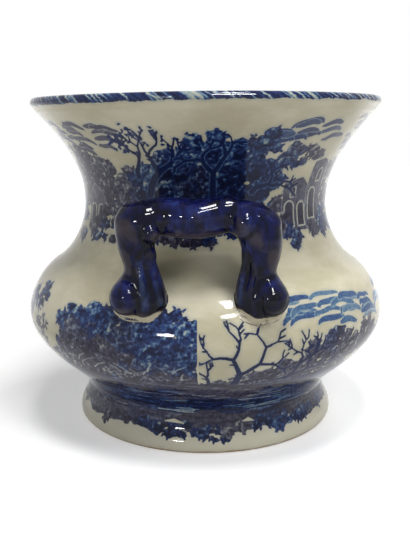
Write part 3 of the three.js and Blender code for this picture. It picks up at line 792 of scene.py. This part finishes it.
# Rods are joined to the bar in turn, each with its flatness, the reach of its blend and its rows: the
# legs, then a claw and a ball on each foot, and then the ridges.
RODS = (
    (1.1, 4, (-37.5, 163, 0, 12.6), (-39, 156, 0.2, 12.6), (-39, 147, 0, 10.9), (-38, 139, -0.4, 9.2),
     (-38.6, 131, -0.6, 8.6), (-37, 121, -0.6, 10.5)),
    (1.1, 4, (36, 163, 0, 12.4), (38.6, 155, 0.2, 13.4), (39.2, 147, 0, 12.2), (39.2, 138, -0.4, 9.9),
     (38.2, 130, -1, 9.2), (36.6, 122, -1, 10.5)),
    (1, 3, (-32.6, 145, 2.4, 5.8), (-32.4, 138, 1.4, 6.4), (-30.8, 128, 1.2, 7.8), (-30.2, 117, 1.6, 10),
     (-32.6, 110, 2.4, 8.6)),
    (0.98, 2.4, (-43.2, 124.4, -1.8, 8), (-44.6, 117.4, 4.2, 11.5)),
    (1, 3, (34, 136, 0, 7.6), (32.6, 124, 0.2, 9.2), (32.8, 115, 0.6, 9.6), (36, 109.5, 2, 8.8)),
    (0.98, 2.4, (39.8, 133, -2.4, 7.2), (42.8, 125.6, -0.8, 8.8), (45, 117.6, 3.9, 11.8)),
    (1, 3, (-36.8, 140, 8.6, 1.6), (-35.4, 131, 9.6, 1.9), (-33.6, 122, 10.6, 2), (-33, 112, 10.4, 2)),
    (1, 3, (-27.4, 133, 5, 1.6), (-24.4, 124, 5.6, 1.6), (-22.6, 115, 5.6, 1.6)),
    (1, 4, (-1, 167.7, 5, 8.8), (8, 170.6, 1.6, 8.2), (17, 173.5, -1.8, 7.4)),
    (1, 2.4, (28.2, 148, 6.4, 1.8), (28, 139, 7.2, 1.6), (26.4, 129, 6.8, 1.5), (25.6, 117, 5.6, 1.8)),
    (1, 2.2, (34.4, 141, 8.6, 1.6), (33.6, 132, 9.4, 1.6), (31.8, 123, 9.8, 1.6), (33.4, 111, 9.6, 1.8)),
)
# Knobs have a reach after their radius.
KNOBS = (
    (-29, 159, 9.4, 5.6, 1.6), (28.6, 165, 5.6, 8.4, 2.2), (-30.6, 144, 4.8, 4.6, 3),
    (-17.5, 162.4, 9.9, 1.8, 1.8), (-12.5, 159.2, 9, 1.6, 1.8), (45.6, 165.4, 1.4, 5, 3),
    (-46.4, 165.6, 1.5, 4.6, 3), (-43.6, 170.4, 0.5, 5, 3),
)
# Worked hollows: beside each ball, under the left knee and on the elbows, each with its reach.
HOLLOWS = (
    (2.4, (-35.4, 147, 11.4, 1.2), (-37.4, 139, 10.9, 0.8), (-37, 133, 12, 0.4)),
    (2, (-37.4, 121, 14.4, 0.6), (-36.6, 112, 14.2, 1.4)),
    (2.4, (-29.6, 136, 9.6, 1.2), (-28.8, 127, 10.6, 1.4), (-27.6, 117, 12.6, 1)),
    (2.4, (38.4, 121, 13.6, 1), (38.2, 112, 13.6, 1.4), (40, 106, 12.4, 1.2)),
    (3.4, (-22, 174, 11, 1.4), (-20.6, 166, 12.8, 1.6), (-22.6, 158, 12.2, 1.6)),
    (4, (22, 175, 8.4, 1), (19.8, 168, 10.6, 1.2), (20.8, 160, 11, 1.6)),
)


def shape_handle(gap):
    """The branch handle: a bar with two elbows and two legs, and a ball beside a claw on each foot."""
    seat = np.interp(FOOT_Z, surface[:, 1], surface[:, 0]) + FOOT_STAND
    foot_out = sqrt(seat**2 - FOOT_X**2)

    def out_at(z, stand):
        return mix(foot_out, BAR_OUT, (z - FOOT_Z) / (BAR_Z - FOOT_Z)) + stand

    def rod(rows, flat):
        return tube(*soft_line([(x, out_at(z, stand), z, radius) for x, z, stand, radius in rows]), flat)

    field = rod(BAR, 1.12)
    for flat, reach, *rows in RODS:
        field = melt(field, rod(rows, flat), reach)
    for x, z, stand, radius, reach in KNOBS:
        spot = np.array((x, out_at(z, stand), z))
        field = melt(field, tube([spot, spot], [radius, radius]), reach)
    for reach, *rows in HOLLOWS:
        field = -melt(-field, rod(rows, 1.0), reach)
    near = np.abs(field) < 4
    field[near] += 0.3 * noise(3, grid_points[near] / 16) + 0.07 * noise(4, grid_points[near] / 6)
    field = melt(blur(field, 3), gap + RUN_OUT, 3.2)
    return np.maximum(field, -(gap + SUNK))


# The slip beds: side, name, drop below the middle of the foot, half width and height, and swell.
BEDS = ((-1, "slip_left", 4.6, (18.6, 13.6), 3.8), (1, "slip_right", 5.4, (19.4, 14.6), 5.0))
BED_X, FOLD = 39.4, 0.07


def shape_slip(gap, handle, side, drop, half, swell):
    """The bed of slip under one foot, pressed out around it in low folds and smoothed off by a finger.
    With it comes how near each place is to its rim, which is 1."""
    nearest = np.argmin(np.abs(surface[:, 1] - (FOOT_Z - drop)))
    radius, (tilt_out, tilt_up) = surface[nearest, 0], surface_ways[nearest]
    angle = asin(side * BED_X / radius)
    sine, cosine = sin(angle), cos(angle)
    across = np.array([cosine, -sine, 0])
    slope = np.cross(across, [sine * tilt_out, cosine * tilt_out, tilt_up])
    local = grid_points - np.array([radius * sine, radius * cosine, FOOT_Z - drop])
    a, b = (local @ way / size for way, size in zip((across, slope), half))
    ring, bare = np.hypot(a, b), 1 - a * a - b * b
    folds = 0.4 * np.cos(ring * pi / FOLD) * unit(6 * bare)
    field = gap - np.maximum(swell * bare * np.abs(bare) - folds, -1.5)
    near = np.abs(field) < 3
    field[near] += 0.35 * noise(6 + side, grid_points[near] / 7) * unit(2 * bare[near])
    field = np.maximum(field, -(gap + SUNK))
    return np.maximum(field, -(handle + 0.3)), ring


def add_pair(name, material, points, quads, attributes):
    """The piece on the front and its twin on the back, turned half a turn about the axis."""
    for end, turn in (("front", -1), ("rear", 1)):
        placed = points * (-turn, turn, 1)
        node = f"{end}_{name}"
        made = make_mesh(node + "_shaped", placed, [quads[:, ::-1]], attributes)
        made.data.materials.append(material)
        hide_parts(node)
        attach(made, "root")


# Materials. Each ramp goes from dark to pale.
BLUES = (
    (0.02, 22, 28, 56), (0.22, 32, 45, 88), (0.42, 50, 72, 122), (0.58, 76, 108, 143), (0.74, 122, 146, 161),
    (0.92, 180, 183, 166),
)
SLATES = (
    (0.02, 46, 44, 60), (0.22, 66, 64, 82), (0.42, 86, 85, 102), (0.58, 108, 110, 124), (0.76, 144, 148, 150),
    (0.92, 186, 185, 166),
)
COBALTS = ((0.36, 3, 4, 14), (0.48, 7, 10, 38), (0.6, 15, 22, 76), (0.76, 38, 56, 122))


def glazed(nodes, colour, roughness, waviness, shine):
    """A glossy glaze over colour, with the faint unevenness of a hand-dipped coat."""
    place = nodes.place()
    height = nodes.times(nodes.noise(place, 80), 0.12, nodes.noise(place, 14))
    bump = nodes.add("Bump", {"Strength": 1.0, "Distance": waviness, "Height": height}).outputs[0]
    looks = {"Base Color": colour, "Roughness": roughness, "Specular IOR Level": shine, "Normal": bump}
    return nodes.finish(nodes.add("BsdfPrincipled", looks).outputs[0])


def printed_glaze():
    nodes = Nodes(bpy.data.materials.new("printed_glaze"))
    place, field = nodes.place(), nodes.field("print")
    cover, tone, value = nodes.add("SeparateColor", {0: field["Color"]}).outputs
    grit = field["Alpha"]
    edge = nodes.times(nodes.wobble(place, 1150, 2, 0.6), nodes.times(grit, 1.2, 0.5), cover)
    # Specks that the engraver's needle left, finer than the drawn fields.
    shade = nodes.times(nodes.wobble(place, 620, 3, 0.65), nodes.times(grit, 0.85, 0.2), value)
    blue, slate = nodes.ramp(shade, *BLUES), nodes.ramp(shade, *SLATES)
    slated = nodes.step(nodes.times(nodes.wobble(place, 30), 0.5, tone), 0.2, 0.75)
    cloud = nodes.noise(nodes.place(1, 1, 2.2), 20, 4, 0.6)
    cream = nodes.blend(nodes.step(cloud, 0.34, 0.66), srgb(216, 210, 186), srgb(196, 189, 160))
    # The ink bled a little into the cream round it.
    cream = nodes.blend(nodes.step(edge, -3.2, 0.2, 0, 0.28), cream, srgb(132, 150, 158))
    # The cream is paler and cooler round the foot: painted light, standing in for light thrown up from the
    # floor, with the cooler tint of glaze pooled there.
    height = nodes.add("SeparateXYZ", {0: place}).outputs[2]
    cream = nodes.blend(nodes.step(height, 0.036, 0.012, 0, 0.75), cream, srgb(238, 234, 212))
    colour = nodes.blend(nodes.step(edge, -0.3, 0.24), cream, nodes.blend(slated, blue, slate))
    # The foot stood bare in the kiln, and shows a thin line of tan clay.
    clay = nodes.step(nodes.times(nodes.noise(place, 60), 0.0022, height), 0.0036, 0.0024)
    colour = nodes.blend(clay, colour, srgb(186, 160, 124))
    return glazed(nodes, colour, nodes.times(clay, 0.5, 0.05), 0.0012, 0.17)


body.data.materials.append(printed_glaze())
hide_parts("vase_body")
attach(body, "root")


def cobalt_glaze():
    """Thick cobalt glaze. It pools dark in the hollows, and runs thin and brown over what stands proud."""
    nodes = Nodes(bpy.data.materials.new("cobalt_glaze"))
    place, field = nodes.place(), nodes.field("clay")
    proud, brown, bare = nodes.add("SeparateColor", {0: field["Color"]}).outputs
    cloud = nodes.noise(place, 42, 4, 0.6, 0.4)
    streaks = nodes.noise(nodes.place(1.6, 1.6, 0.7), 120, 3, 0.6, 0.6)
    # The glaze ran down, and lies thicker and darker on the feet.
    height = nodes.add("SeparateXYZ", {0: place}).outputs[2]
    run = nodes.step(height, 0.132, 0.118, 0, -0.07)
    colour = nodes.ramp(nodes.times(streaks, 0.5, nodes.times(cloud, 0.6, run)), *COBALTS)
    mottle = nodes.noise(place, 85, 3, 0.6, 0.5)
    # Brown where the glaze ran thin, and under the bar a painted reflection of the floor.
    thin = nodes.times(proud, 0.3, nodes.times(brown, 0.54, mottle))
    colour = nodes.blend(nodes.step(thin, 0.8, 1.14, 0, 0.75), colour, srgb(66, 58, 64))
    # Painted sheen: paler blue along the crests of the ridges and on the right knot.
    painted_ridge_sheen = nodes.step(nodes.times(field["Alpha"], 0.34, mottle), 0.6, 1.05, 0, 0.45)
    colour = nodes.blend(painted_ridge_sheen, colour, srgb(66, 88, 130))
    pool = nodes.step(nodes.times(proud, 0.8, nodes.times(mottle, 0.5)), 0.68, 0.44, 0, 0.8)
    colour = nodes.blend(pool, colour, srgb(5, 7, 18))
    # Under the foot it thins to brown and then to bare slip.
    edge = nodes.times(nodes.wobble(place, 210, 3), 0.5, bare)
    colour = nodes.blend(nodes.step(edge, 0.3, 0.52), colour, srgb(66, 54, 50))
    colour = nodes.blend(nodes.step(edge, 0.52, 0.66), colour, srgb(196, 188, 162))
    return glazed(nodes, colour, 0.035, 0.0012, 0.15)


def slip_glaze():
    """Bare slip under clear glaze, stained brown and blue where cobalt ran onto it."""
    nodes = Nodes(bpy.data.materials.new("slip_glaze"))
    place = nodes.place()
    # Painted light: the slip's cream is paler than the body's, to lift the shade it lies in under the foot.
    colour = nodes.blend(nodes.noise(place, 60, 3), srgb(236, 231, 208), srgb(208, 200, 172))
    stain = nodes.step(nodes.noise(place, 150, 4, 0.65, 0.6), 0.56, 0.68, 0, 0.6)
    colour = nodes.blend(stain, colour, srgb(92, 82, 78))
    drip = nodes.step(nodes.noise(place, 95, 3, 0.6, 1.0), 0.62, 0.7, 0, 0.6)
    colour = nodes.blend(drip, colour, srgb(58, 74, 118))
    # Brown lies in the folds, here and there.
    wander = nodes.times(nodes.noise(place, 70), 0.1, nodes.field("ring")["Fac"])
    fold = nodes.step(nodes.math("PINGPONG", wander, FOLD), 0.026, 0.006)
    fold = nodes.times(fold, nodes.step(nodes.noise(place, 90), 0.4, 0.52, 0, 0.9))
    return glazed(nodes, nodes.blend(fold, colour, srgb(84, 66, 60)), 0.14, 0.0015, 0.35)


gap = body_gap()
handle = shape_handle(gap)
points, quads = surface_net(handle)
soft = blur(handle, 4)
bulge = sum(np.gradient(np.gradient(soft, CELL, axis=k), CELL, axis=k) for k in range(3))
proud = unit(0.5 + grid_sample(bulge, points) * 2.4)
bare = smooth(116, 106, points[:, 2]) * smooth(6.5, 2.0, grid_sample(gap, points))
bare[points[:, 0] <= 0] *= 0.8


def patches(*rows):
    """How near each point is to any of these spots or lines, each (x0, z0, x1, z1, half width)."""
    found = np.zeros(len(points))
    for *ends, half in rows:
        found = np.maximum(found, smooth(2.4, 0.0, line_gap(points[:, 0], points[:, 2], *ends)[1] / half))
    return found


# The first row, along the underside of the bar, is a painted reflection of the floor; the others are brown
# where the glaze ran thin.
brown = patches(
    (-24, 155, 22, 155, 3.4), (26, 160, 34, 157, 4.2), (46, 146, 47, 138, 3.5), (-46, 162, -40, 157, 4),
    (-46, 144, -44, 136, 3), (-50, 108, -30, 105, 3),
)
# Painted sheen along the crests of the ridges on the feet and on the right knot.
blue = patches(
    (-36, 140, -33, 112, 2.2), (-26, 128, -22.6, 114, 1.6), (26.6, 130, 25.4, 114, 1.6),
    (31, 166, 28, 158, 2.4),
)
clay = np.c_[proud, brown, bare, blue]
add_pair("handle", cobalt_glaze(), points, quads, {"clay": clay})

slip_material = slip_glaze()
for side, name, *bed in BEDS:
    field, ring = shape_slip(gap, handle, side, *bed)
    points, quads = surface_net(field)
    add_pair(name, slip_material, points, quads, {"ring": grid_sample(ring, points)})


# The studio: a pale floor that runs out to a surround. The camera, mirrored light and light through
# glass see both as white, and lamps light the vase.
FLOOR_HALF, FLOOR_GLOW, SURROUND_LIGHT = 3.0, 0.41, 0.17
WHITE = (1, 1, 1, 1)


def seen_directly(nodes):
    path = nodes.add("LightPath").outputs
    seen = nodes.math("ADD", path["Is Camera Ray"], path["Is Glossy Ray"])
    return nodes.math("ADD", seen, path["Is Transmission Ray"], use_clamp=True)


def build_stage():
    mesh = bpy.data.meshes.new("floor")
    corners = [(x * FLOOR_HALF, y * FLOOR_HALF, 0) for x, y in ((-1, -1), (1, -1), (1, 1), (-1, 1))]
    mesh.from_pydata(corners, [], [(0, 1, 2, 3)])
    floor = add_object("floor", mesh)
    nodes = Nodes(bpy.data.materials.new("floor_paper"))
    seen = seen_directly(nodes)
    shade = nodes.blend(seen, (0.7, 0.7, 0.7, 1), (0.8, 0.8, 0.8, 1))
    paper = nodes.add("BsdfDiffuse", {"Color": shade}).outputs[0]
    away = nodes.add("VectorMath", {0: nodes.place()}, operation="LENGTH").outputs["Value"]
    strength = nodes.times(seen, nodes.step(away, 0.3, 0.9, FLOOR_GLOW, 1.0))
    glow = nodes.add("Emission", {"Color": WHITE, "Strength": strength}).outputs[0]
    mesh.materials.append(nodes.finish(nodes.add("AddShader", {0: paper, 1: glow}).outputs[0]))
    floor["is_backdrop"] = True

    world = bpy.data.worlds.new("surround")
    bpy.context.scene.world = world
    nodes = Nodes(world)
    strength = nodes.times(seen_directly(nodes), 1.0 - SURROUND_LIGHT, SURROUND_LIGHT)
    nodes.finish(nodes.add("Background", {"Color": WHITE, "Strength": strength}).outputs[0], "OutputWorld")


def lamp(name, azimuth, elevation, distance, size, power, mirrored=False):
    """A soft lamp aimed at the vase, which lights it or is only mirrored in its glaze. Azimuth 0 is the
    camera's side, and turns to the right."""
    data = bpy.data.lights.new(name, "AREA")
    data.shape = "RECTANGLE"
    data.size, data.size_y = size
    data.energy = power
    made = add_object(name, data)
    side, rise = radians(azimuth), radians(elevation)
    way = Vector((sin(side) * cos(rise), -cos(side) * cos(rise), sin(rise)))
    made.location = Vector((0, 0, 0.13)) + way * distance
    made.rotation_euler = way.to_track_quat("Z", "Y").to_euler()
    made.visible_glossy, made.visible_diffuse = mirrored, not mirrored


build_stage()
lamp("key", 22, 41, 1.5, (0.36, 0.14), 14, True)
lamp("key_top", 25, 61, 1.5, (0.16, 0.36), 15, True)
lamp("low_left", -21, 10, 1.4, (0.2, 0.08), 7, True)
lamp("above", 12, 74, 1.5, (0.35, 0.35), 11.5)
lamp("side", 45, 50, 1.7, (0.5, 0.5), 10)
lamp("back", 130, 50, 1.6, (0.5, 0.5), 8)
lamp("fill", -40, 8, 1.6, (0.6, 0.6), 2.4)

made_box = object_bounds()
boxes = {"cad": cad_box, "visual": made_box}
{key: [list(corner) for corner in box] for key, box in boxes.items()}
